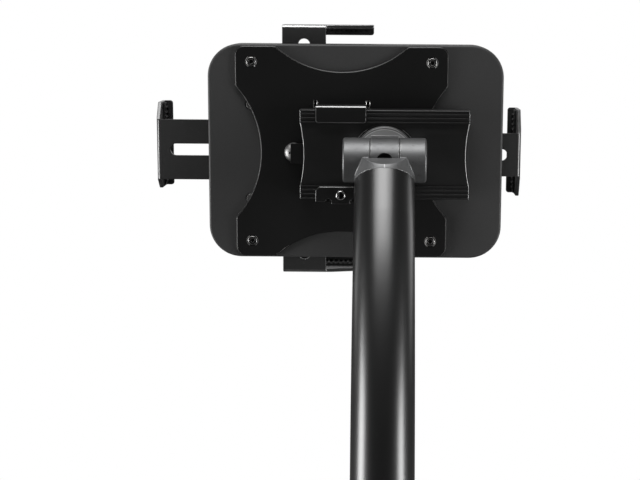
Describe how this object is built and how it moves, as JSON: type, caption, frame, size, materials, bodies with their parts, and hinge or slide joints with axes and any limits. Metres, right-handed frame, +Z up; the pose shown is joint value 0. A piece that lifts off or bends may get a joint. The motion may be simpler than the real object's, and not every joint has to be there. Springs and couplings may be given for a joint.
{
  "type": "adjustable tablet floor stand",
  "caption": "Floor stand with a height-adjustable pole, curved mast, tilting and turning head and a four-jaw tablet holder on a sliding plate.",
  "frame": {"origin": "on the floor under the centre of the round base, on the pole's axis", "axes": "+Z up along the pole, +Y towards the person who uses the tablet, +X along the tilt barrel, to the right as seen from behind"},
  "size_m": [0.3799, 0.38, 1.1911],
  "materials": {
    "base_paint": "fine-textured black powder coat",
    "foot_rubber": "matt",
    "pole_paint": "smooth satin black",
    "collar_cast": "satin black",
    "knob_plastic": "fine-grained black",
    "bush_plastic": "plain moulded",
    "zinc_steel": "zinc plated",
    "chrome_screw": "polished",
    "black_screw": "black oxide",
    "grey_cast": "satin grey enamel on a casting",
    "rail_black": "black anodised, drawn",
    "plate_black": "semi-gloss black",
    "washer_black": "plain",
    "shell_black": "fine matt moulded",
    "arm_black": "semi-gloss black",
    "pad_rubber": "matt, ribbed"
  },
  "bodies": {
    "stand": {"base_plate": "base_paint", "base_feet": "foot_rubber", "base_cover": "base_paint", "foot_plug": "zinc_steel", "foot_washer": "zinc_steel", "foot_bolt": "zinc_steel", "lower_tube": "pole_paint", "tube_bushing": "bush_plastic", "height_collar": "collar_cast", "collar_screws": "black_screw"},
    "height_knob": {"height_knob": "knob_plastic", "knob_stud": "zinc_steel", "stud_tip": "bush_plastic"},
    "mast": {"upper_tube": "pole_paint", "tube_guide": "bush_plastic", "neck_fork": "grey_cast", "neck_set_screw": "black_screw", "tilt_pin": "zinc_steel", "barrel_caps": "grey_cast", "tilt_washers": "washer_black"},
    "tilt_head": {"tilt_tongue": "grey_cast", "tilt_grub_screw": "black_screw", "disc_washer": "washer_black", "turn_friction_washer": "washer_black", "turn_wave_washer": "zinc_steel", "turn_bolt": "zinc_steel"},
    "rail": {"rail": "rail_black", "shield_tab": "plate_black"},
    "carriage": {"vesa_plate": "plate_black", "rail_hook": "plate_black", "lock_lug": "plate_black", "vesa_screws": "black_screw", "stop_screw": "chrome_screw", "rear_cover": "shell_black", "front_tray": "shell_black", "cover_screws": "zinc_steel", "guide_bushes": "bush_plastic", "front_pads": "pad_rubber"},
    "lock_screw": {"lock_screw": "chrome_screw"},
    "left_arm": {"left_arm": "arm_black", "left_pad": "pad_rubber"},
    "left_clamp_screw": {"left_clamp_screw": "black_screw"},
    "right_arm": {"right_arm": "arm_black", "right_pad": "pad_rubber"},
    "right_clamp_screw": {"right_clamp_screw": "black_screw"},
    "top_arm": {"top_arm": "arm_black", "top_pad": "pad_rubber"},
    "top_clamp_screw": {"top_clamp_screw": "black_screw"},
    "bottom_arm": {"bottom_arm": "arm_black", "bottom_pad": "pad_rubber"},
    "bottom_clamp_screw": {"bottom_clamp_screw": "black_screw"}
  },
  "joints": [
    {"name": "height_knob_turn", "type": "hinge", "parent": "stand", "child": "height_knob", "pos_m": [0.05, 0, 0.68], "axis": [1, 0, 0], "continuous": true},
    {"name": "height_slide", "type": "slide", "parent": "stand", "child": "mast", "axis": [0, 0, 1], "range_m": [-0.13, 0.2]},
    {"name": "head_tilt", "type": "hinge", "parent": "mast", "child": "tilt_head", "pos_m": [0, 0.09335, 1.12], "axis": [1, 0, 0], "range_deg": [-15, 60]},
    {"name": "head_turn", "type": "hinge", "parent": "tilt_head", "child": "rail", "pos_m": [0, 0.11335, 1.12], "axis": [0, 1, 0], "range_deg": [-90, 90]},
    {"name": "carriage_slide", "type": "slide", "parent": "rail", "child": "carriage", "axis": [1, 0, 0], "range_m": [-0.008, 0.035]},
    {"name": "lock_screw_turn", "type": "hinge", "parent": "carriage", "child": "lock_screw", "pos_m": [-0.024, 0.10835, 1.0989], "axis": [0, 1, 0], "continuous": true},
    {"name": "left_arm_slide", "type": "slide", "parent": "carriage", "child": "left_arm", "axis": [-1, 0, 0], "range_m": [-0.022, 0.021]},
    {"name": "right_arm_slide", "type": "slide", "parent": "carriage", "child": "right_arm", "axis": [1, 0, 0], "range_m": [-0.007, 0.033]},
    {"name": "top_arm_slide", "type": "slide", "parent": "carriage", "child": "top_arm", "axis": [0, 0, 1], "range_m": [-0.005, 0.02]},
    {"name": "bottom_arm_slide", "type": "slide", "parent": "carriage", "child": "bottom_arm", "axis": [0, 0, -1], "range_m": [-0.005, 0.02]},
    {"name": "left_clamp_turn", "type": "hinge", "parent": "carriage", "child": "left_clamp_screw", "pos_m": [-0.0882, 0.13335, 1.1209], "axis": [0, 1, 0], "continuous": true},
    {"name": "right_clamp_turn", "type": "hinge", "parent": "carriage", "child": "right_clamp_screw", "pos_m": [0.0556, 0.13335, 1.1191], "axis": [0, 1, 0], "continuous": true},
    {"name": "top_clamp_turn", "type": "hinge", "parent": "carriage", "child": "top_clamp_screw", "pos_m": [-0.0454, 0.13335, 1.17395], "axis": [0, 1, 0], "continuous": true},
    {"name": "bottom_clamp_turn", "type": "hinge", "parent": "carriage", "child": "bottom_clamp_screw", "pos_m": [-0.0454, 0.13335, 1.06785], "axis": [0, 1, 0], "continuous": true}
  ]
}
